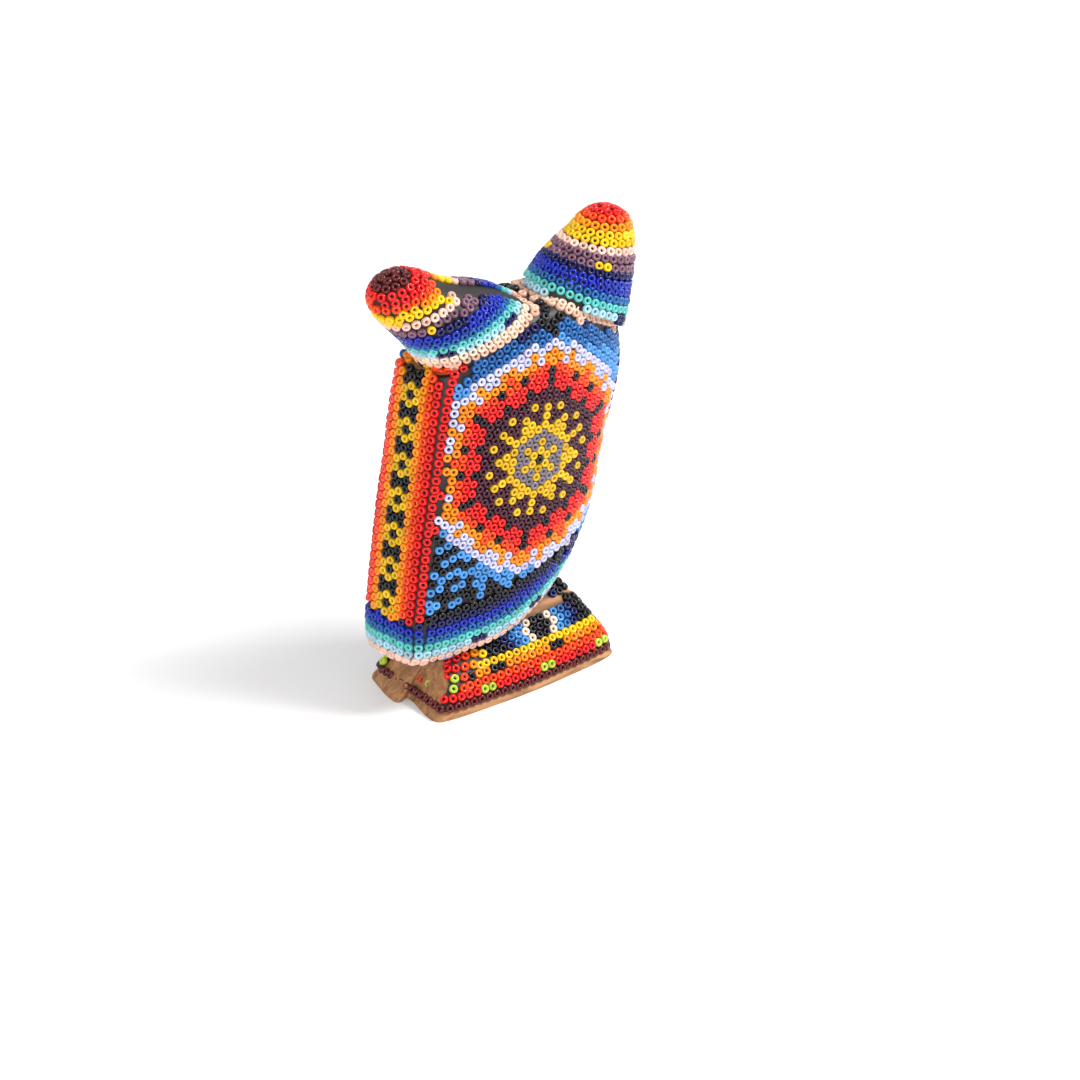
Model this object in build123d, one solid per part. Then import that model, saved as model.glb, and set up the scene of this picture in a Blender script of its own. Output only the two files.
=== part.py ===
from build123d import *
import math
import os

# Small carved figure covered with glass seed beads: a slab-like body with two blunt
# horns, standing on a hipped base. All sizes are millimetres. X runs along the figure
# from the narrow flower strip (-X) to the rounded edge (+X), the two broad faces look
# along -Y and +Y, Z is up, and the origin is the middle of the base's underside.

# Driving dimensions
BEAD_LAYER = 1.0      # how far the beads stand out of the wax
WAX_LAYER = 0.7       # thickness of the beeswax over the wood
BASE_LENGTH = 51.0
BASE_HEIGHT = 18.6
BASE_BARE_FOOT = 1.3      # height of the bare wood under the lowest bead row
LEFT_END_LEAN = 38.0      # degrees from upright
MANDALA_X = 3.6
MANDALA_Z = 57.6
STRIP_HALF = 8.3          # half width of the flower strip
SQUARE_ROOT = 0.07        # how squared the horns are where they leave the body
REACH = 60.0              # half size of the cutting blocks
SLIVER = 3.0              # volume under which a leftover of a cut is dropped

WAX = -BEAD_LAYER
WOOD = -(BEAD_LAYER + WAX_LAYER)

# Body, level by level: height, strip x, round edge x, strip half width,
# belly half width, belly x
BODY_LEVELS = [
    (11.0, -25.0, -10.0, 3.6, 5.0, -17.0),
    (12.0, -28.2, -3.0, 6.4, 8.2, -13.0),
    (14.2, -29.8, 3.8, 8.2, 10.4, -9.0),
    (18.0, -30.0, 11.2, 8.9, 11.6, -5.0),
    (23.5, -29.4, 17.8, 9.2, 12.3, -2.0),
    (31.0, -28.3, 22.9, 9.3, 12.9, 1.0),
    (40.0, -27.0, 26.8, 9.4, 13.3, 3.0),
    (50.0, -25.4, 28.9, 9.4, 13.5, 4.0),
    (60.0, -23.7, 31.8, 9.2, 13.5, 5.0),
    (70.0, -22.2, 34.5, 9.0, 13.3, 6.0),
    (78.0, -20.8, 34.2, 8.8, 12.8, 6.5),
    (84.0, -18.8, 33.0, 8.4, 12.0, 7.0),
    (89.0, -13.0, 28.5, 7.0, 10.6, 7.0),
    (91.5, -6.0, 22.0, 4.8, 8.0, 7.0),
]
STRIP_CORNER = 2.2        # rounding of the strip's two long edges
STRIP_SKEW = 1.0          # the strip is set a little askew

# Horns, ring by ring from the root to the tip: centre x, centre z, tilt of the
# ring in degrees, half width, half thickness
LEFT_HORN = [
    (-4.6, 86.3, 20.0, 14.4, 11.2),
    (-11.6, 92.9, 17.0, 12.6, 10.0),
    (-17.8, 96.8, 13.0, 10.8, 8.6),
    (-22.3, 99.9, 13.0, 9.0, 7.4),
    (-24.8, 102.6, 15.0, 7.4, 6.4),
    (-26.3, 104.8, 17.0, 5.2, 4.8),
    (-26.9, 106.2, 18.0, 2.8, 2.8),
    (-27.1, 106.6, 18.0, 0.9, 0.9),
]
RIGHT_HORN = [
    (23.2, 85.6, -29.0, 13.4, 11.2),
    (26.2, 91.8, -26.0, 12.0, 10.2),
    (29.0, 96.6, -20.0, 10.2, 8.9),
    (31.0, 100.0, -15.0, 8.3, 7.5),
    (32.1, 102.8, -12.0, 6.8, 6.3),
    (32.6, 105.0, -10.0, 4.8, 4.6),
    (32.8, 106.4, -10.0, 2.7, 2.7),
    (32.8, 106.9, -10.0, 0.9, 0.9),
]

# Mandala on each broad face: outer radius of each group of rings
MANDALA_RINGS = [
    ("star", 12.8),
    ("red", 21.4),
    ("petals", 27.8),
]

# Colour bands of the horns from the root up: name, and the ring where each ends
HORN_BANDS = [
    ("cream", 2),
    ("blue", 4),
    ("mauve", 6),
    ("yellow", 8),
    ("orange", 10),
    ("red", None),
]
TIP_RISE = 2.6            # height over which the layers close over a horn's tip

# Rim bands: name and distance in from the lower and rounded edge of the body
RIM_BANDS = [
    ("pale", 3.0),
    ("dark", 9.4),
]

# Border bands of the base: name, height where each ends, distance from the bare end
BORDER_BANDS = [
    ("red", 5.0, 4.9),
    ("yellow", 7.9, 8.2),
]
EYE_X = 7.5
EYE_Z = 11.2
EYE_RADIUS = 6.6

# Base, level by level: height, right end x, half depth at the ends, bow of the sides
BASE_LEVELS = [
    (0.0, 25.5, 13.7, 1.5),
    (1.3, 25.6, 13.6, 1.5),
    (2.5, 25.7, 13.5, 1.5),
    (5.2, 25.3, 12.6, 1.4),
    (8.5, 23.9, 10.2, 1.2),
    (12.5, 21.9, 6.7, 0.9),
    (16.0, 20.0, 3.5, 0.5),
    (18.6, 18.6, 1.5, 0.2),
]
BASE_CORNER = 2.2


def smooth_loop(points):
    return Face(Wire([Spline(*points, periodic=True)]))


def body_ring(level, grow):
    """One level of the body: flat strip end, swelling sides and a rounded far edge."""
    height, strip_x, edge_x, strip_half, belly_half, belly_x = level
    first, last = BODY_LEVELS[0][0], BODY_LEVELS[-1][0]
    near_bottom = max(0.0, 1.0 - (height - first) / 4.0)
    near_top = max(0.0, 1.0 - (last - height) / 4.0)
    z = height + grow * (near_top - near_bottom)
    strip_x -= grow
    edge_x += grow
    strip_half += grow
    belly_half += grow
    corner = min(STRIP_CORNER, 0.5 * strip_half)
    side = [
        (strip_x, strip_half - corner),
        (strip_x + 0.29 * corner, strip_half - 0.29 * corner),
    ]
    for step in (1.0, 0.75, 0.5, 0.25, 0.0):
        reach = (belly_x - strip_x - corner) * step
        drop = (belly_half - strip_half) * (reach / (belly_x - strip_x)) ** 2
        side.append((belly_x - reach, belly_half - drop))
    for angle in (20, 38, 54, 68, 80):
        turn = math.radians(angle)
        x = belly_x + (edge_x - belly_x) * math.sin(turn)
        side.append((x, belly_half * math.cos(turn) ** 0.9))
    loop = [(strip_x - 0.3, 0.0)]
    loop += [(x, -y) for x, y in side]
    loop += [(edge_x, 0.0)]
    loop += [(x, y) for x, y in reversed(side)]
    placed = []
    for x, y in loop:
        share = min(1.0, max(0.0, (belly_x - x) / (belly_x - strip_x)))
        placed.append(Vector(x - STRIP_SKEW * share ** 2 * y / strip_half, y, z))
    return smooth_loop(placed)


def body_solid(grow):
    """The slab body, grown or shrunk by a layer's thickness."""
    return loft([body_ring(level, grow) for level in BODY_LEVELS])


def ring_plane(ring, lift=0.0):
    """The tilted plane that a horn's ring lies in."""
    x, z, tilt = ring[:3]
    turn = math.radians(tilt)
    up = Vector(-math.sin(turn), 0, math.cos(turn))
    along = Vector(math.cos(turn), 0, math.sin(turn))
    return Plane(Vector(x, 0, z) + up * lift, x_dir=along, z_dir=up)


def finer(rings):
    """The same horn with a smooth ring added halfway between each pair."""
    out = []
    for count in range(len(rings) - 1):
        before = rings[max(0, count - 1)]
        here, there = rings[count], rings[count + 1]
        after = rings[min(len(rings) - 1, count + 2)]
        out.append(here)
        halfway = [(9 * p + 9 * q - o - r) / 16 for o, p, q, r in zip(before, here, there, after)]
        out.append(tuple(halfway))
    return out + [rings[-1]]


def horn_ring(rings, ring, grow):
    """One ring: a full, slightly squared oval at the root that turns round at the tip."""
    near_tip = max(0.0, 1.0 - (rings[-1][1] - ring[1]) / TIP_RISE)
    half = max(ring[3] + grow, 0.4 * ring[3])
    thick = max(ring[4] + grow, 0.4 * ring[4])
    plane = ring_plane(ring, grow * near_tip)
    points = []
    for step in range(16):
        turn = math.tau * step / 16
        swell = 1 + SQUARE_ROOT * min(1.0, half / rings[0][3]) ** 4 * math.sin(2 * turn) ** 2
        across = Vector(half * swell * math.cos(turn), thick * swell * math.sin(turn), 0)
        points.append(plane.from_local_coords(across))
    return smooth_loop(points)


def horn_piece(rings, grow, first=0, last=None):
    """The part of a horn between two of its rings."""
    stretch = rings[first:] if last is None else rings[first:last + 1]
    return loft([horn_ring(rings, ring, grow) for ring in stretch], ruled=True)


def base_ring(level, grow, left_grow):
    """One level of the hipped base; its left end leans in and is left bare."""
    height, right_x, half_depth, bow = level
    if grow == WOOD and height < BASE_BARE_FOOT + 0.1:
        grow = -0.3
    near_top = max(0.0, 1.0 - (BASE_HEIGHT - height) / 4.0)
    z = height + grow * near_top
    left_x = -BASE_LENGTH / 2 + height * math.tan(math.radians(LEFT_END_LEAN)) - left_grow
    right_x += grow
    half_depth = max(0.5, half_depth + grow)
    corner = min(BASE_CORNER, half_depth * 0.6)
    side = [(left_x, half_depth - corner), (left_x + 0.29 * corner, half_depth - 0.29 * corner)]
    middle = (left_x + right_x) / 2
    half_length = (right_x - left_x) / 2
    for step in (-1.0, -0.6, -0.2, 0.2, 0.6, 1.0):
        x = middle + (half_length - corner) * step
        side.append((x, half_depth + bow * (1 - step * step)))
    side += [(right_x - 0.29 * corner, half_depth - 0.29 * corner), (right_x, half_depth - corner)]
    loop = [(left_x, 0.0)] + [(x, -y) for x, y in side] + [(right_x, 0.0)]
    loop += [(x, y) for x, y in reversed(side)]
    return smooth_loop([Vector(x, y, z) for x, y in loop])


def base_solid(grow, left_grow=0.0):
    return loft([base_ring(level, grow, left_grow) for level in BASE_LEVELS])


def block(x_low, x_high, y_low, y_high, z_low, z_high):
    size = (x_high - x_low, y_high - y_low, z_high - z_low)
    middle = ((x_high + x_low) / 2, (y_high + y_low) / 2, (z_high + z_low) / 2)
    return Pos(*middle) * Box(*size)


def above(plane):
    return plane * Pos(0, 0, REACH) * Box(2 * REACH, 2 * REACH, 2 * REACH)


def below(plane):
    return plane * Pos(0, 0, -REACH) * Box(2 * REACH, 2 * REACH, 2 * REACH)


def across_body(points):
    """A prism through the whole depth of the body from an outline in the XZ plane."""
    outline = [Vector(x, 0, z) for x, z in points]
    face = Face(Wire.make_polygon(outline, close=True))
    return extrude(face, amount=REACH, dir=(0, 1, 0), both=True)


def drum(x, z, radius):
    """A cylinder through the whole depth of the body."""
    return Pos(x, 0, z) * Rot(90, 0, 0) * Cylinder(radius, 2 * REACH)


def edge_outline(inset):
    """The body's lower and rounded edge seen from a broad face, moved inwards."""
    left = [(-30.0, 17.0), (-28.4, 12.3), (-23.5, 11.0)]
    floor = [(level[2], level[0]) for level in BODY_LEVELS[:-2]]
    points = left + floor
    moved = []
    for count, (x, z) in enumerate(points):
        before = points[max(0, count - 1)]
        after = points[min(len(points) - 1, count + 1)]
        run_x, run_z = after[0] - before[0], after[1] - before[1]
        length = math.hypot(run_x, run_z)
        moved.append((x - run_z / length * inset, z + run_x / length * inset))
    moved[0] = (-REACH, moved[0][1] + inset)
    moved[1] = (moved[1][0] - 2, moved[1][1] + 2)
    return across_body(moved + [(moved[-1][0], 2 * REACH), (-REACH, 2 * REACH)])


def save(name, shape):
    """Write one named piece; slivers left over from a cut are dropped."""
    kept = [solid for solid in shape.solids() if solid.volume > SLIVER]
    export_step(kept[0] if len(kept) == 1 else Compound(children=kept), f"parts/{name}.step")


def save_horn(side, rings):
    """A horn's carved core, its wax and its bands of beads."""
    wood = horn_piece(rings, WOOD)
    save(f"carved_horn_{side}", wood)
    save(f"wax_horn_{side}", horn_piece(rings, WAX) - wood)
    first = 0
    for name, last in HORN_BANDS:
        outer = horn_piece(rings, 0.0, first, last)
        save(f"beads_horn_{side}_{name}", outer - horn_piece(rings, WAX, first, last))
        first = last


def save_body_beads(beads, left_root, right_root):
    """The body's bead layer, parted along the lines where its colours change."""
    field = edge_outline(RIM_BANDS[-1][1])
    rim = beads - field
    low_rim = rim & block(-REACH, REACH, -REACH, REACH, -REACH, 24.5)
    for name, inset in RIM_BANDS:
        prism = edge_outline(inset)
        save(f"beads_rim_{name}", low_rim - prism)
        low_rim = low_rim & prism
    save("beads_round_edge", rim & block(-REACH, REACH, -REACH, REACH, 24.5, 2 * REACH))
    beads = beads & field
    strip_block = block(-REACH, -12.0, -STRIP_HALF, STRIP_HALF, 0, 2 * REACH)
    strip = beads & strip_block
    beads = beads - strip_block
    flowers = block(-REACH, 0, -2.9, 2.9, 0, 2 * REACH)
    amber = block(-REACH, 0, -5.0, 5.0, 0, 2 * REACH)
    save("beads_strip_flowers", strip & flowers)
    save("beads_strip_orange", (strip & amber) - flowers)
    save("beads_strip_red", strip - amber)
    crown = below(ring_plane(left_root, -4.2)) & below(ring_plane(right_root, -4.2))
    middle = block(2.0, 17.5, -REACH, REACH, 86.0, 2 * REACH)
    top = beads - crown
    save("beads_saddle", top & middle)
    save("beads_top_rows", top - middle)
    faces = beads & crown
    for side, low, high in (("front", -REACH, 0.0), ("back", 0.0, REACH)):
        rest = faces & block(-REACH, REACH, low, high, 0, 2 * REACH)
        for name, radius in MANDALA_RINGS:
            disc = drum(MANDALA_X, MANDALA_Z, radius)
            save(f"beads_mandala_{side}_{name}", rest & disc)
            rest = rest - disc
        save(f"beads_sky_{side}", rest)


def save_base_beads(beads):
    """The base's bead layer: the border rows, the eye on each side and the dark field."""
    rest = beads
    lean = math.tan(math.radians(LEFT_END_LEAN))
    for name, height, inset in BORDER_BANDS:
        start = -BASE_LENGTH / 2 + height * lean + inset
        inner = [(start, height), (REACH, height), (REACH, REACH), (start + (REACH - height) * lean, REACH)]
        prism = across_body(inner)
        save(f"beads_base_{name}", rest - prism)
        rest = rest & prism
    disc = drum(EYE_X, EYE_Z, EYE_RADIUS)
    save("beads_base_eyes", rest & disc)
    save("beads_base_field", rest - disc)


os.makedirs("parts", exist_ok=True)

left_root, right_root = LEFT_HORN[0], RIGHT_HORN[0]
left_cut, right_cut = below(ring_plane(left_root)), below(ring_plane(right_root))
body_outer, body_waxed, body_wood = [
    body_solid(grow) & left_cut & right_cut for grow in (0.0, WAX, WOOD)
]
save_horn("left", finer(LEFT_HORN))
save_horn("right", finer(RIGHT_HORN))

base_outer = base_solid(0.0)
base_waxed = base_solid(WAX, BEAD_LAYER)
base_under_wax = base_solid(WOOD, BEAD_LAYER + WAX_LAYER)
base_wood = base_solid(WOOD)
above_foot = block(-REACH, REACH, -REACH, REACH, BASE_BARE_FOOT, REACH)
lean = math.tan(math.radians(LEFT_END_LEAN))
bare_end = -BASE_LENGTH / 2
right_of_end = across_body([
    (bare_end - 2 * lean, -2.0), (bare_end + REACH * lean, REACH), (REACH, REACH), (REACH, -2.0),
])
under_body = edge_outline(0.0)
save("carved_body", body_wood)
save("carved_base", base_wood - body_wood)
save("wax_body", (body_waxed - body_wood) - base_wood)
save("wax_base", ((base_waxed - base_under_wax) & above_foot & right_of_end) - under_body)
save_base_beads(((base_outer - base_waxed) & above_foot) - under_body)
save_body_beads((body_outer - body_waxed) - base_outer, left_root, right_root)
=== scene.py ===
import math
import random

import bpy
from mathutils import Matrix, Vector
from mathutils.bvhtree import BVHTree


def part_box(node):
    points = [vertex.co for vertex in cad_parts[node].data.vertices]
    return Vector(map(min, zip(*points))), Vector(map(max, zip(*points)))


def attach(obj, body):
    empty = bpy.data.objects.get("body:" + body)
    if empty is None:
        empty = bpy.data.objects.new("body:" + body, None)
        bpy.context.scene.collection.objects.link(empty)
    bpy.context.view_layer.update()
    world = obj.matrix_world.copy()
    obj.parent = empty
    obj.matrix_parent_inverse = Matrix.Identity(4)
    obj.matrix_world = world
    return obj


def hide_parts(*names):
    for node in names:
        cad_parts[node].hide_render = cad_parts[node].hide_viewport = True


# A small carved figure covered with glass seed beads. The carved wood and the wax come
# from the CAD pieces; every bead is set here, one by one, on the wax. Lengths below are
# millimetres in the model's own frame and become metres when a mesh is made.

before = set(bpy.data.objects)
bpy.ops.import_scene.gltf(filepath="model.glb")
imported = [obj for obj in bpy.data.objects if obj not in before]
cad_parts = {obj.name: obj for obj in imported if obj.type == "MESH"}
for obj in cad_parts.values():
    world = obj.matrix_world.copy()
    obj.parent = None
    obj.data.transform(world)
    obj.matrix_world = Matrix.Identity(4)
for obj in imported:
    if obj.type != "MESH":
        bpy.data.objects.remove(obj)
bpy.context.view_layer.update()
random.seed(11)

BEAD_PITCH = 2.08        # from bead to bead along a row
ROW_PITCH = 1.84         # from row to row when the rows nest
BEAD_RADIUS = 1.06
HOLE_RADIUS = 0.34
BEAD_HALF_LENGTH = 0.68
SEAT = 0.30              # how far a bead's centre stands above the wax
NEAREST = 1.66           # two beads closer than this can't both be set
FAR = 70.0

COLUMN_PITCH = 2.3       # from column to column beside the base's leaning end
MANDALA_X = 3.6
MANDALA_Z = 57.6
MANDALA_TURN = math.radians(18)
STRIP_LOW = 24.3

# Bead colours, as they look (0 to 255)
COLOURS = {
    "maroon": (92, 24, 24),
    "plum": (66, 16, 38),
    "red": (222, 22, 20),
    "orange_red": (247, 72, 14),
    "orange": (252, 146, 4),
    "yellow": (252, 202, 8),
    "ochre": (224, 184, 14),
    "pink": (236, 200, 180),
    "mauve": (122, 88, 106),
    "navy": (20, 20, 84),
    "royal": (16, 42, 168),
    "blue": (26, 96, 164),
    "turquoise": (88, 196, 188),
    "aqua": (164, 214, 226),
    "cream": (240, 224, 198),
    "peach": (232, 192, 164),
    "black": (16, 16, 26),
    "sky": (72, 150, 218),
    "lilac": (198, 204, 236),
    "grey": (122, 116, 126),
    "lime": (182, 212, 62),
}

# Rows of the horns from the root up
HORN_ROWS = [
    "peach", "cream", "aqua", "turquoise", "blue", "royal", "royal", "navy", "mauve", "mauve",
    "pink", "yellow", "yellow", "orange", "orange_red", "red", "red",
]
# Centre line of the rows: offset from the horn's tip, and the tilt of the row there
LEFT_LINE = [
    (0.0, 0.0, 18), (0.8, -1.8, 17), (2.3, -4.0, 15), (4.8, -6.7, 13),
    (9.3, -9.8, 13), (14.6, -13.2, 13), (20.6, -18.4, 13),
]
RIGHT_LINE = [
    (0.0, 0.0, -10), (-0.2, -1.9, -10), (-0.7, -4.1, -12), (-1.8, -6.9, -15),
    (-3.8, -10.3, -20), (-6.6, -15.1, -26), (-9.6, -21.3, -29),
]
RIM_ROWS = ["pink", "aqua", "turquoise", "blue", "royal", "navy", "black"]
BORDER_ROWS = ["maroon", "red", "orange_red", "orange", "yellow"]
STRIP_COLUMNS = ["red", "orange_red", "orange", None, None, None, "orange", "orange_red", "red", "red"]


def surface(*names):
    """The outside of some CAD pieces, for finding where a bead sits."""
    points = []
    faces = []
    for name in names:
        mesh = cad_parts[name].data
        start = len(points)
        points += [vertex.co * 1000 for vertex in mesh.vertices]
        mesh.calc_loop_triangles()
        faces += [[start + index for index in triangle.vertices] for triangle in mesh.loop_triangles]
    return BVHTree.FromPolygons(points, faces)


WAX_BODY = surface("wax_body", "wax_horn_left", "wax_horn_right")
WAX_LEFT = surface("wax_body", "wax_horn_left")
WAX_RIGHT = surface("wax_body", "wax_horn_right")
WAX_BASE = surface("wax_base")
WOOD_BODY = surface("carved_body")
WOOD_BASE = surface("carved_base")
BEAD_NODES = sorted(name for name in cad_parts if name.startswith("beads_"))
BEAD_SURFACES = {name: surface(name) for name in BEAD_NODES}
BASE_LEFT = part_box("carved_base")[0].x * 1000

beads = []
cells = {}


def cell_of(point):
    return tuple(math.floor(value / 2.2) for value in point)


def nearest_bead(point, reach=2.2):
    """The closest bead already set, and how far away it is."""
    best = None
    gap = reach
    home = cell_of(point)
    for i in (-1, 0, 1):
        for j in (-1, 0, 1):
            for k in (-1, 0, 1):
                for bead in cells.get((home[0] + i, home[1] + j, home[2] + k), ()):
                    distance = (bead["at"] - point).length
                    if distance < gap:
                        best = bead
                        gap = distance
    return best, gap


def inside(wood, point, margin):
    """True when a point lies in a piece of wood, or nearer to it than the margin."""
    spot, normal, index, distance = wood.find_nearest(point)
    return distance < margin or (point - spot).normalized().dot(normal) < -0.7


def soft_normal(skin, point):
    """The surface's direction, averaged over the room that one bead takes."""
    normal = skin.find_nearest(point)[1].copy()
    side = normal.orthogonal().normalized()
    other = normal.cross(side)
    total = normal.copy()
    for step in range(6):
        turn = math.tau * step / 6
        around = point + (side * math.cos(turn) + other * math.sin(turn)) * 1.3 + normal * 0.4
        near = skin.find_nearest(around)[1]
        if near.dot(normal) > 0.3:
            total += near
    return total.normalized()


def set_bead(skin, spot, colour, part, nearest=NEAREST):
    """Press one bead into the wax, unless another bead or the other wood is in its way."""
    normal = soft_normal(skin, spot)
    point = spot + normal * SEAT
    if nearest_bead(point, nearest)[0] is not None:
        return False
    if part == "body" and inside(WOOD_BASE, point, 2.0):
        return False
    if part == "base" and inside(WOOD_BODY, point, 2.2):
        return False
    bead = {"at": point, "out": normal, "colour": colour, "part": part}
    beads.append(bead)
    cells.setdefault(cell_of(point), []).append(bead)
    return True


def lengths_along(path):
    total = [0.0]
    for before, after in zip(path, path[1:]):
        total.append(total[-1] + (after - before).length)
    return total


def spaced(path, pitch, start=0.0):
    """Points evenly spaced along a path of points."""
    total = lengths_along(path)
    count = max(1, round((total[-1] - start) / pitch))
    step = (total[-1] - start) / count
    points = []
    place = 0
    for number in range(count + 1):
        want = start + number * step
        while place < len(total) - 2 and total[place + 1] < want:
            place += 1
        span = max(1e-6, total[place + 1] - total[place])
        points.append(path[place].lerp(path[place + 1], min(1.0, (want - total[place]) / span)))
    return points


def paired(number, phase, colour, other, period=8):
    """A row of one colour with two beads of another every so often."""
    return other if (number + phase) % period < 2 else colour


def between(line, share):
    place = min(len(line) - 2, int(share * (len(line) - 1)))
    part = share * (len(line) - 1) - place
    return [a + (b - a) * part for a, b in zip(line[place], line[place + 1])]


def ring_on(skin, tip, line, share, count=60):
    """The horn's outline where one row's plane cuts it."""
    x, z, tilt = between(line, share)
    turn = math.radians(tilt)
    along = Vector((math.cos(turn), 0, math.sin(turn)))
    across = Vector((0, 1, 0))
    centre = tip + Vector((x, 0, z - 0.25))
    ring = []
    for step in range(count):
        angle = math.tau * step / count
        out = along * math.cos(angle) + across * math.sin(angle)
        hit = skin.ray_cast(centre + out * 34, -out, 34)[0]
        ring.append(hit if hit is not None else centre.copy())
    return ring


def set_horn(skin, tip_node, line, tip_colour):
    """Rows of beads round a horn, from the root up to the tip."""
    low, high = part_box(tip_node)
    tip = Vector(((low.x + high.x) * 500, (low.y + high.y) * 500, high.z * 1000 - 1.0))
    rings = [ring_on(skin, tip, line, step / 90) for step in range(91)]
    walked = [0.0]
    for before, after in zip(rings, rings[1:]):
        gaps = sorted((a - b).length for a, b in zip(before, after))
        walked.append(walked[-1] + gaps[len(gaps) * 13 // 20])
    rows = round((walked[-1] - 0.2) / ROW_PITCH)
    pitch = (walked[-1] - 0.2) / rows
    for row in range(rows + 1):
        want = walked[-1] - row * pitch
        place = min(range(len(walked)), key=lambda index: abs(walked[index] - want))
        ring = ring_on(skin, tip, line, place / 90)
        ring.append(ring[0])
        if lengths_along(ring)[-1] < 5.0:
            continue
        colour = HORN_ROWS[row] if row < len(HORN_ROWS) else tip_colour
        points = spaced(ring, BEAD_PITCH)[:-1]
        for number, spot in enumerate(points):
            shade = colour
            if row == 2:
                shade = paired(number, 3, colour, "navy")
            if row == 8:
                shade = paired(number, 5, colour, "yellow")
            set_bead(skin, spot, shade, "body", 1.36)
    top = skin.ray_cast(tip + Vector((0, 0, 20)), Vector((0, 0, -1)))[0]
    set_bead(skin, top, tip_colour, "body")


def strip_spot(y, z):
    return WAX_LEFT.ray_cast(Vector((-FAR, y, z)), Vector((1, 0, 0)))[0]


def set_strip():
    """The narrow end: two borders and a row of small flowers."""
    middle = [strip_spot(0.0, STRIP_LOW + step * 0.5) for step in range(124)]
    middle = [spot for spot in middle if spot is not None]
    rows = spaced(middle, BEAD_PITCH * 0.985)
    for column, colour in enumerate(STRIP_COLUMNS):
        y = 8.05 - column * 1.79
        for row, spot in enumerate(rows):
            lift = 0.5 * BEAD_PITCH * (column % 2)
            hit = strip_spot(y, spot.z + lift)
            if hit is None:
                continue
            shade = colour or flower_colour(column - 3, row)
            set_bead(WAX_LEFT, hit, shade, "body")


def flower_colour(column, row):
    """Six yellow beads round a black one, with a black bar between two flowers."""
    step = row % 4
    if column == 1:
        return "ochre" if step in (0, 2) else "black"
    return "ochre" if step < 2 else "black"


def contour(z, side, count=150):
    """The body's outline at one height, from the strip's corner round to the far edge."""
    path = []
    for step in range(count + 1):
        angle = math.radians(-14 + 206 * step / count)
        out = Vector((-math.cos(angle), side * math.sin(angle), 0))
        centre = Vector((2.0, 0, z))
        hit = WAX_BODY.ray_cast(centre + out * FAR, -out, FAR)[0]
        if hit is not None:
            path.append(hit)
    return path


def mandala_colour(ring, place):
    """Colour of a bead by its ring and its place along one of the ring's six sides."""
    place = min(place, ring - place)
    if ring > 11 and place < 3:
        ring += 1
        place = {0: 2, 1: 1, 2: 0}[place] if ring == 13 else place
    if ring == 0:
        return "black"
    if ring == 1:
        return "ochre"
    if ring == 2:
        return "ochre" if place == 0 else "grey"
    if ring == 3:
        return "grey"
    if ring == 4:
        return "ochre"
    if ring == 5:
        return "ochre" if place in (0, 2) else "plum"
    if ring == 6:
        return "ochre" if place in (0, 3) else "plum"
    if ring == 7:
        return "ochre" if place == 2 else "plum"
    if ring == 8:
        return "plum"
    if ring == 9:
        return "black" if place in (0, 3) else "red"
    if ring == 10:
        return "black" if place == 0 else "red"
    if ring == 11:
        return "black" if place == 4 else ("orange" if place == 0 else "orange_red")
    if ring == 12:
        return "orange_red" if place in (2, 6) else "orange"
    if ring == 13:
        return "orange" if place in (1, 2, 3, 6) else "lilac"
    return "lilac" if ring == 14 else None


def below_rows(point):
    """How far a point lies under the lowest row of the nearer horn."""
    left = (88.2 + (point.x + 6.5) * math.tan(math.radians(13)) - point.z) * 0.97
    right = (85.6 - (point.x - 23.2) * math.tan(math.radians(29)) - point.z) * 0.87
    return min(left, right)


def field_colour(spot):
    """Colour of the face outside the mandala."""
    under = below_rows(spot)
    if spot.z > 60:
        if under < 1.5 or spot.z > 84.5 + abs(spot.x - 9.5) * 1.2:
            return "black"
        if under < 3.0:
            return "navy"
        return "blue" if under < 6.4 else "sky"
    if spot.x < -14 - 3 * math.sin(spot.z * 1.7) and spot.z < 50 and int(spot.z / 1.8) % 2 == 0:
        return "black"
    if spot.z < 31 and int((spot.x + 60) / 2.08) % 3 == 0:
        return "black"
    return "sky"


def set_face(side):
    """One broad face: a six-sided lattice of beads that carries the mandala."""
    steps = range(-26, 27)
    paths = {}
    spots = []
    for q in steps:
        for r in steps:
            turn = MANDALA_TURN
            u = BEAD_PITCH * (q * math.cos(turn) + r * math.cos(turn + math.radians(60)))
            v = BEAD_PITCH * (q * math.sin(turn) + r * math.sin(turn + math.radians(60)))
            z = MANDALA_Z + v
            if not 12.5 < z < 93 or abs(u) > 62:
                continue
            spots.append((max(abs(q), abs(r), abs(q + r)), q, r, u, z))
    for ring, q, r, u, z in sorted(spots):
        key = round(z / 0.25)
        if key not in paths:
            path = contour(key * 0.25, side)
            total = lengths_along(path) if len(path) > 2 else [0.0]
            middle = min(range(len(path)), key=lambda n: abs(path[n].x - MANDALA_X) + (path[n].y * side < 0) * 99) if path else 0
            paths[key] = (path, total, total[middle] if path else 0.0)
        path, total, origin = paths[key]
        want = origin + u
        if len(path) < 3 or not 0 <= want <= total[-1]:
            continue
        place = max(n for n in range(len(total) - 1) if total[n] <= want or n == 0)
        part = (want - total[place]) / max(1e-6, total[place + 1] - total[place])
        spot = path[place].lerp(path[place + 1], min(1.0, part))
        spot = WAX_BODY.find_nearest(spot)[0]
        if spot.y * side < -1.2 or (spot.x < -12 and abs(spot.y) < 6.8):
            continue
        if below_rows(spot) < 0.9 and not (4 < spot.x < 16 and spot.z < 93):
            continue
        parts = sorted((abs(q), abs(r), abs(q + r)))
        colour = mandala_colour(ring, parts[0]) or field_colour(spot)
        set_bead(WAX_BODY, spot, colour, "body", 1.74)


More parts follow.
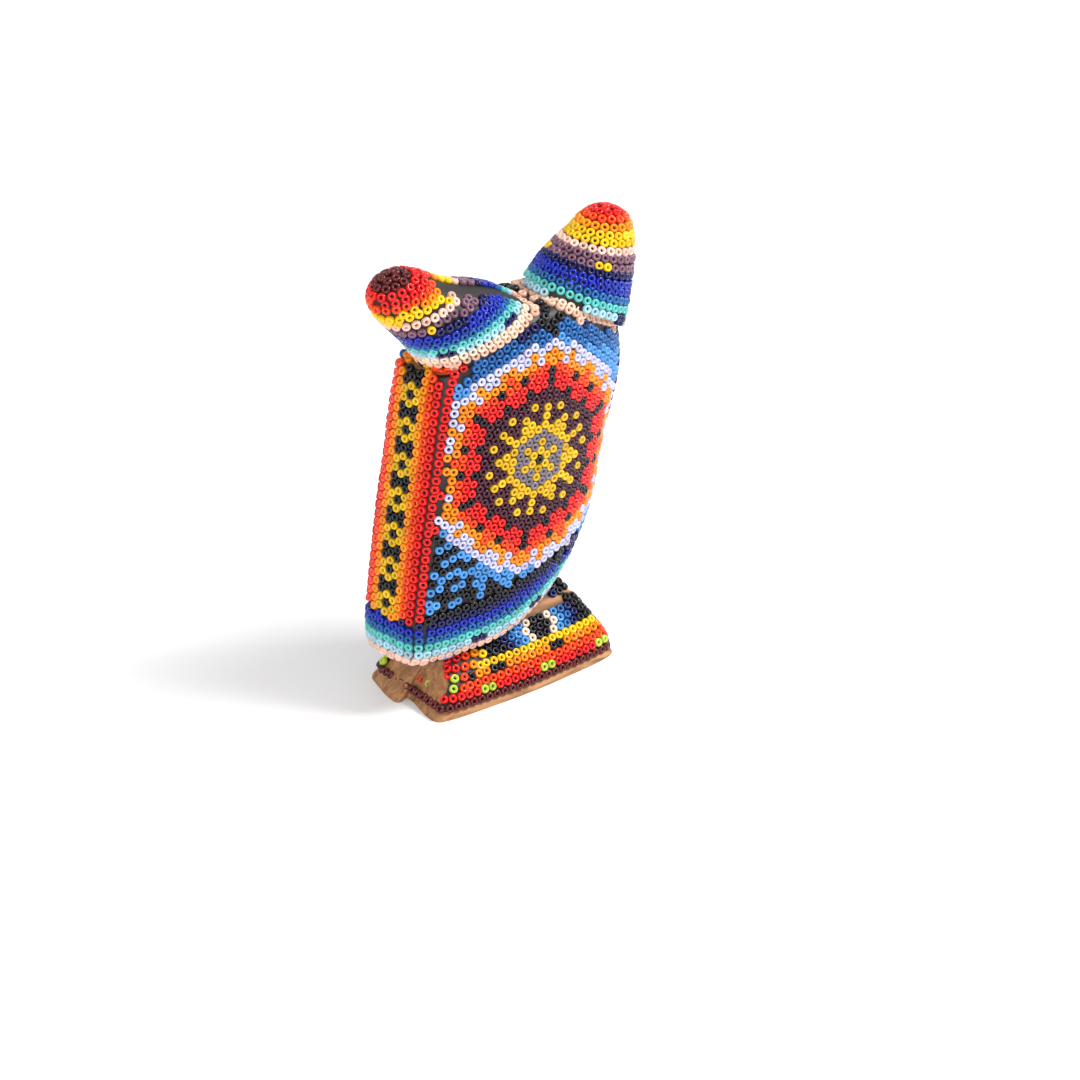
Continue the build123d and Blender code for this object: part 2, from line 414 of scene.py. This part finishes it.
def rim_stations():
    """Points along the body's lower and rounded edge, with the way inwards."""
    stations = []
    for step in range(112):
        angle = math.radians(-124 + 1.45 * step)
        out = Vector((math.cos(angle), 0, math.sin(angle)))
        hit, normal, index, distance = WOOD_BODY.ray_cast(Vector((-5, 0, 45)) + out * FAR, -out, FAR)
        normal = Vector((normal.x, 0, normal.z)).normalized()
        stations.append((hit + normal * 0.7, -normal))
    return stations


def rim_section(edge, inward, side):
    """Points up the surface from the edge, starting where the base no longer covers it."""
    path = []
    for step in range(1, 60):
        place = edge + inward * (0.12 + 0.3 * (step - 1))
        hit = WAX_BODY.ray_cast(Vector((place.x, side * FAR, place.z)), Vector((0, -side, 0)))[0]
        if hit is None or hit.y * side < 0:
            continue
        if not path and inside(WOOD_BASE, hit + Vector((0, side * 0.4, 0)), 2.1):
            continue
        if not path and edge.z < 24 and WAX_BODY.find_nearest(hit)[1].z < -0.55:
            continue
        path.append(hit)
    return path


def set_rim():
    """Rows that follow the body's lower edge, round the narrow end and up the far edge."""
    stations = rim_stations()
    starts = []
    for side in (-1, 1):
        sections = []
        for edge, inward in stations:
            sections.append((edge, rim_section(edge, inward, side)))
        for row, colour in enumerate(RIM_ROWS):
            track = []
            for edge, path in sections:
                if len(path) < 4 or (edge.z > 30 and row > 2) or edge.z > 78:
                    continue
                total = lengths_along(path)
                want = 0.3 + ROW_PITCH * row
                if want > total[-1]:
                    continue
                place = max(n for n in range(len(total) - 1) if total[n] <= want)
                part = (want - total[place]) / max(1e-6, total[place + 1] - total[place])
                track.append(path[place].lerp(path[place + 1], part))
            smooth = []
            for place in range(len(track)):
                window = track[max(0, place - 2):place + 3]
                smooth.append(sum(window, Vector()) / len(window))
            if len(smooth) < 3:
                continue
            if side == -1:
                starts.append((smooth[0], colour))
            for number, point in enumerate(spaced(smooth, BEAD_PITCH)):
                spot = WAX_BODY.find_nearest(point)[0]
                shade = colour
                if spot.z > 27 and spot.x > 15:
                    shade = ("royal", "navy", "navy")[min(row, 2)]
                elif row == 1:
                    shade = paired(number, 2, colour, "navy")
                set_bead(WAX_BODY, spot, shade, "body")
    for start, colour in starts:
        path = []
        for step in range(61):
            angle = math.radians(-100 + 200 * step / 60)
            out = Vector((-math.cos(angle), math.sin(angle), 0))
            hit = WAX_BODY.ray_cast(Vector((-18, 0, start.z)) + out * 40, -out, 40)[0]
            if hit is not None:
                path.append(hit)
        if len(path) > 4:
            for number, spot in enumerate(spaced(path, BEAD_PITCH)):
                set_bead(WAX_BODY, spot, colour, "body")
    for number, point in enumerate(spaced([edge for edge, inward in stations], BEAD_PITCH)):
        spot = WAX_BODY.find_nearest(point)[0]
        if spot.z < 80:
            set_bead(WAX_BODY, spot, "royal" if spot.z > 27 else "pink", "body")


def set_base():
    """The base: nested border rows, an eye on each long side and a dark field."""
    low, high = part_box("wax_base")
    foot = low.z * 1000 + 0.75
    slope = []
    for step in range(60):
        z = foot + step * 0.25
        hit = WAX_BASE.ray_cast(Vector((6, -FAR, z)), Vector((0, 1, 0)))[0]
        if hit is not None and hit.y < 0:
            slope.append(hit)
    heights = lengths_along(slope)
    for row, colour in enumerate(BORDER_ROWS):
        level = slope[max(n for n in range(len(slope)) if heights[n] <= row * ROW_PITCH)].z
        path = []
        for step in range(361):
            angle = math.radians(-40 + 440 * step / 360)
            out = Vector((-math.cos(angle), -math.sin(angle), 0))
            hit = WAX_BASE.ray_cast(Vector((4, 0, level)) + out * FAR, -out, FAR)[0]
            if hit is not None and hit.x > bare_end(level) + 0.9 + row * COLUMN_PITCH:
                path.append(hit)
        for number, spot in enumerate(spaced(path, BEAD_PITCH)):
            shade = colour
            if row == 1:
                shade = paired(number, 4, colour, "lime")
            if row == 3:
                shade = paired(number, 1, colour, "black")
            set_bead(WAX_BASE, spot, shade, "base", 1.5)
        for side in (-1, 1):
            column = []
            for step in range(50):
                z = level + 1.7 + step * 0.25
                x = bare_end(z) + 0.9 + row * COLUMN_PITCH
                hit = WAX_BASE.ray_cast(Vector((x, side * FAR, z)), Vector((0, -side, 0)))[0]
                if hit is not None and hit.y * side > 0 and z < 15:
                    column.append(hit)
            if len(column) > 3:
                for number, spot in enumerate(spaced(column, BEAD_PITCH)):
                    shade = "lime" if row == 1 and number in (0, 1) else colour
                    set_bead(WAX_BASE, spot, shade, "base", 1.5)
    for side in (-1, 1):
        set_base_field(side)


def bare_end(z):
    """Where the bare left end of the base is at one height."""
    return BASE_LEFT + z * math.tan(math.radians(38))


def set_base_field(side):
    """The dark field of one long side, with the eye in it."""
    for row in range(-6, 7):
        for step in range(-16, 17):
            u = BEAD_PITCH * (step + 0.5 * (row % 2))
            v = ROW_PITCH * row
            distance = math.hypot(u, v)
            z = 11.2 + v * 0.72
            x = 7.5 + u
            hit = WAX_BASE.ray_cast(Vector((x, side * FAR, z)), Vector((0, -side, 0)))[0]
            if hit is None or hit.y * side < 0 or x < bare_end(z) + 4 or z < 7:
                continue
            rings = ("black", "black", "cream", "sky", "blue", "navy", "black")
            colour = rings[min(6, int(distance / 1.75))]
            set_bead(WAX_BASE, hit, colour, "base", 1.74)


def outer_spots(skin_nodes, count):
    """Random places on the outside of the wax."""
    for name in skin_nodes:
        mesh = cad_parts[name].data
        mesh.calc_loop_triangles()
        triangles = list(mesh.loop_triangles)
        weights = [triangle.area for triangle in triangles]
        for triangle in random.choices(triangles, weights=weights, k=count):
            a, b, c = [mesh.vertices[index].co * 1000 for index in triangle.vertices]
            s, t = random.random(), random.random()
            if s + t > 1:
                s, t = 1 - s, 1 - t
            yield a + (b - a) * s + (c - a) * t, triangle.normal


def fill(skin_nodes, skin, covers, part, count):
    """Beads for the gaps that the rows leave, in the colour of the bead beside them."""
    spots = []
    for spot, normal in outer_spots(skin_nodes, count):
        if all(cover.find_nearest(spot)[3] > 0.35 for cover in covers):
            spots.append((spot, normal))
    for nearest in (1.85, 1.52):
        for spot, normal in spots:
            beside, gap = nearest_bead(spot + normal * SEAT, 4.2)
            if beside is not None and gap > nearest and beside["part"] == part:
                set_bead(skin, spot, beside["colour"], part, nearest)


set_horn(WAX_LEFT, "beads_horn_left_red", LEFT_LINE, "maroon")
set_horn(WAX_RIGHT, "beads_horn_right_red", RIGHT_LINE, "red")
set_strip()
set_rim()
set_face(-1)
set_face(1)
set_base()
print("beads", len(beads))
WOODS = [surface(name) for name in ("carved_body", "carved_horn_left", "carved_horn_right", "carved_base")]
fill(("wax_body", "wax_horn_left", "wax_horn_right"), WAX_BODY, WOODS, "body", 9000)
fill(("wax_base",), WAX_BASE, WOODS, "base", 9000)
fill(("carved_body",), WOOD_BODY, [WAX_BODY, WAX_BASE] + WOODS[1:], "body", 20000)
print("beads", len(beads))


def bead_profile():
    """Half of a bead's section: a rounded wall round a straight hole."""
    wall = (BEAD_RADIUS - HOLE_RADIUS) / 2
    middle = (BEAD_RADIUS + HOLE_RADIUS) / 2
    points = []
    for step in range(8):
        angle = math.tau * (step + 0.5) / 8
        x = math.cos(angle)
        y = math.sin(angle)
        swell = (abs(x) ** 2.6 + abs(y) ** 2.6) ** (-1 / 2.6)
        points.append((middle + wall * x * swell, BEAD_HALF_LENGTH * y * swell))
    return points


def linear(value):
    value /= 255
    return value / 12.92 if value <= 0.04045 else ((value + 0.055) / 1.055) ** 2.4


def glass_material(name):
    """Glossy opaque glass: tone shifts from bead to bead, with faint streaks."""
    material = bpy.data.materials.new("glass_" + name)
    material.use_nodes = True
    tree = material.node_tree
    shader = tree.nodes["Principled BSDF"]
    red, green, blue = [linear(value) for value in COLOURS[name]]
    tone = tree.nodes.new("ShaderNodeAttribute")
    tone.attribute_name = "tone"
    streak = tree.nodes.new("ShaderNodeTexNoise")
    streak.inputs["Scale"].default_value = 900.0
    streak.inputs["Detail"].default_value = 1.0
    place = tree.nodes.new("ShaderNodeTexCoord")
    tree.links.new(place.outputs["Object"], streak.inputs["Vector"])
    blend = tree.nodes.new("ShaderNodeMath")
    blend.operation = "MULTIPLY_ADD"
    tree.links.new(streak.outputs["Fac"], blend.inputs[0])
    blend.inputs[1].default_value = 0.35
    tree.links.new(tone.outputs["Fac"], blend.inputs[2])
    ramp = tree.nodes.new("ShaderNodeValToRGB")
    ramp.color_ramp.elements[0].position = 0.1
    ramp.color_ramp.elements[0].color = (red * 0.5, green * 0.42, blue * 0.46, 1)
    ramp.color_ramp.elements[1].position = 1.0
    ramp.color_ramp.elements[1].color = (
        min(1, red * 1.15), min(1, green * 1.1), min(1, blue * 1.12), 1)
    tree.links.new(blend.outputs[0], ramp.inputs["Fac"])
    tree.links.new(ramp.outputs["Color"], shader.inputs["Base Color"])
    shader.inputs["Roughness"].default_value = 0.16
    shader.inputs["IOR"].default_value = 1.5
    shader.inputs["Specular IOR Level"].default_value = 0.38
    return material


GLASS = {name: glass_material(name) for name in COLOURS}


def bead_mesh(name, group):
    """One mesh of many beads, each turned to its own spot on the wax."""
    profile = bead_profile()
    sides = 12
    ring = len(profile)
    points = []
    faces = []
    slots = []
    tones = []
    used = sorted({bead["colour"] for bead in group})
    for bead in group:
        out = bead["out"] + Vector([random.uniform(-0.09, 0.09) for axis in range(3)])
        out.normalize()
        side = out.orthogonal().normalized()
        other = out.cross(side)
        wide = random.uniform(0.95, 1.02)
        tall = random.uniform(0.9, 1.04)
        centre = bead["at"] + side * random.uniform(-0.04, 0.04) + other * random.uniform(-0.04, 0.04)
        start = len(points)
        tone = min(0.95, max(0.05, random.gauss(0.45, 0.11)))
        for step in range(sides):
            angle = math.tau * step / sides
            away = side * math.cos(angle) + other * math.sin(angle)
            for radius, height in profile:
                points.append((centre + away * (radius * wide) + out * (height * tall)) / 1000)
                tones.append(tone)
        for step in range(sides):
            here = start + step * ring
            there = start + (step + 1) % sides * ring
            for edge in range(ring):
                after = (edge + 1) % ring
                faces.append((here + edge, there + edge, there + after, here + after))
                slots.append(used.index(bead["colour"]))
    mesh = bpy.data.meshes.new(name)
    mesh.from_pydata(points, [], faces)
    for colour in used:
        mesh.materials.append(GLASS[colour])
    mesh.polygons.foreach_set("material_index", slots)
    mesh.polygons.foreach_set("use_smooth", [True] * len(faces))
    mesh.attributes.new("tone", "FLOAT", "POINT").data.foreach_set("value", tones)
    mesh.update()
    piece = bpy.data.objects.new(name, mesh)
    bpy.context.scene.collection.objects.link(piece)
    return piece


def node_of(bead):
    """The CAD piece that a bead belongs to."""
    top = bead["at"] + bead["out"] * BEAD_HALF_LENGTH
    return min(BEAD_NODES, key=lambda name: BEAD_SURFACES[name].find_nearest(top)[3])


groups = {name: [] for name in BEAD_NODES}
for bead in beads:
    groups[node_of(bead)].append(bead)
for name, group in groups.items():
    piece = bead_mesh(name.replace("beads_", "set_"), group)
    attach(piece, "root")
    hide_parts(name)


def wood_material():
    """Reddish stained wood with long grain and fine pores."""
    material = bpy.data.materials.new("carved_wood")
    material.use_nodes = True
    tree = material.node_tree
    shader = tree.nodes["Principled BSDF"]
    place = tree.nodes.new("ShaderNodeTexCoord")
    stretch = tree.nodes.new("ShaderNodeMapping")
    stretch.inputs["Scale"].default_value = (60.0, 420.0, 420.0)
    tree.links.new(place.outputs["Object"], stretch.inputs["Vector"])
    grain = tree.nodes.new("ShaderNodeTexNoise")
    grain.inputs["Scale"].default_value = 1.0
    grain.inputs["Detail"].default_value = 6.0
    grain.inputs["Distortion"].default_value = 1.4
    tree.links.new(stretch.outputs["Vector"], grain.inputs["Vector"])
    ramp = tree.nodes.new("ShaderNodeValToRGB")
    ramp.color_ramp.elements[0].position = 0.3
    ramp.color_ramp.elements[0].color = (0.16, 0.06, 0.02, 1)
    ramp.color_ramp.elements[1].position = 0.72
    ramp.color_ramp.elements[1].color = (0.50, 0.24, 0.09, 1)
    tree.links.new(grain.outputs["Fac"], ramp.inputs["Fac"])
    tree.links.new(ramp.outputs["Color"], shader.inputs["Base Color"])
    bump = tree.nodes.new("ShaderNodeBump")
    bump.inputs["Strength"].default_value = 0.35
    bump.inputs["Distance"].default_value = 0.0003
    tree.links.new(grain.outputs["Fac"], bump.inputs["Height"])
    tree.links.new(bump.outputs["Normal"], shader.inputs["Normal"])
    shader.inputs["Roughness"].default_value = 0.6
    return material


def wax_material():
    """Dark beeswax with a mottled, softly shining skin."""
    material = bpy.data.materials.new("dark_wax")
    material.use_nodes = True
    tree = material.node_tree
    shader = tree.nodes["Principled BSDF"]
    place = tree.nodes.new("ShaderNodeTexCoord")
    mottle = tree.nodes.new("ShaderNodeTexNoise")
    mottle.inputs["Scale"].default_value = 260.0
    mottle.inputs["Detail"].default_value = 4.0
    tree.links.new(place.outputs["Object"], mottle.inputs["Vector"])
    ramp = tree.nodes.new("ShaderNodeValToRGB")
    ramp.color_ramp.elements[0].position = 0.35
    ramp.color_ramp.elements[0].color = (0.004, 0.0025, 0.002, 1)
    ramp.color_ramp.elements[1].position = 0.75
    ramp.color_ramp.elements[1].color = (0.016, 0.009, 0.006, 1)
    tree.links.new(mottle.outputs["Fac"], ramp.inputs["Fac"])
    tree.links.new(ramp.outputs["Color"], shader.inputs["Base Color"])
    shader.inputs["Roughness"].default_value = 0.5
    return material


WOOD = wood_material()
WAX = wax_material()
for name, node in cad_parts.items():
    if name.startswith("carved_") or name.startswith("wax_"):
        node.data.materials.clear()
        node.data.materials.append(WOOD if name.startswith("carved_") else WAX)


def plain_material(name, colour, roughness):
    """A pale surface with the faintest cloudiness."""
    material = bpy.data.materials.new(name)
    material.use_nodes = True
    tree = material.node_tree
    shader = tree.nodes["Principled BSDF"]
    cloud = tree.nodes.new("ShaderNodeTexNoise")
    cloud.inputs["Scale"].default_value = 3.0
    ramp = tree.nodes.new("ShaderNodeValToRGB")
    ramp.color_ramp.elements[0].color = tuple(value * 0.985 for value in colour) + (1,)
    ramp.color_ramp.elements[1].color = tuple(colour) + (1,)
    tree.links.new(cloud.outputs["Fac"], ramp.inputs["Fac"])
    tree.links.new(ramp.outputs["Color"], shader.inputs["Base Color"])
    shader.inputs["Roughness"].default_value = roughness
    return material


bpy.ops.mesh.primitive_plane_add(size=6, location=(0, 0, 0))
floor = bpy.context.object
floor.name = "floor"
floor.data.materials.append(plain_material("pale_paper", (0.93, 0.93, 0.93), 0.9))

world = bpy.data.worlds.new("studio")
bpy.context.scene.world = world
world.use_nodes = True
world.node_tree.nodes["Background"].inputs["Color"].default_value = (1, 1, 1, 1)
world.node_tree.nodes["Background"].inputs["Strength"].default_value = 0.75


def soft_light(name, place, target, size, power):
    """A soft box that looks at the figure."""
    data = bpy.data.lights.new(name, "AREA")
    data.shape = "SQUARE"
    data.size = size
    data.energy = power
    light = bpy.data.objects.new(name, data)
    light.location = place
    light.rotation_euler = (Vector(target) - Vector(place)).to_track_quat("-Z", "Y").to_euler()
    bpy.context.scene.collection.objects.link(light)


soft_light("key", (0.45, -0.35, 0.75), (0, 0, 0.05), 0.35, 9.0)
soft_light("side", (-0.7, -0.5, 0.35), (0, 0, 0.05), 0.5, 3.5)

AIM = Vector((0.0172, 0.0041, 0.0254))
azimuth = math.radians(-38)
elevation = math.radians(28.5)
away = Vector((math.sin(azimuth) * math.cos(elevation), -math.cos(azimuth) * math.cos(elevation), math.sin(elevation)))
lens = bpy.data.cameras.new("camera")
lens.lens = 130.3
lens.sensor_width = 36.0
lens.clip_start = 0.01
camera = bpy.data.objects.new("camera", lens)
camera.location = AIM + away * 0.9
camera.rotation_euler = (-away).to_track_quat("-Z", "Y").to_euler()
bpy.context.scene.collection.objects.link(camera)
bpy.context.scene.camera = camera
bpy.context.scene.view_settings.view_transform = "Standard"
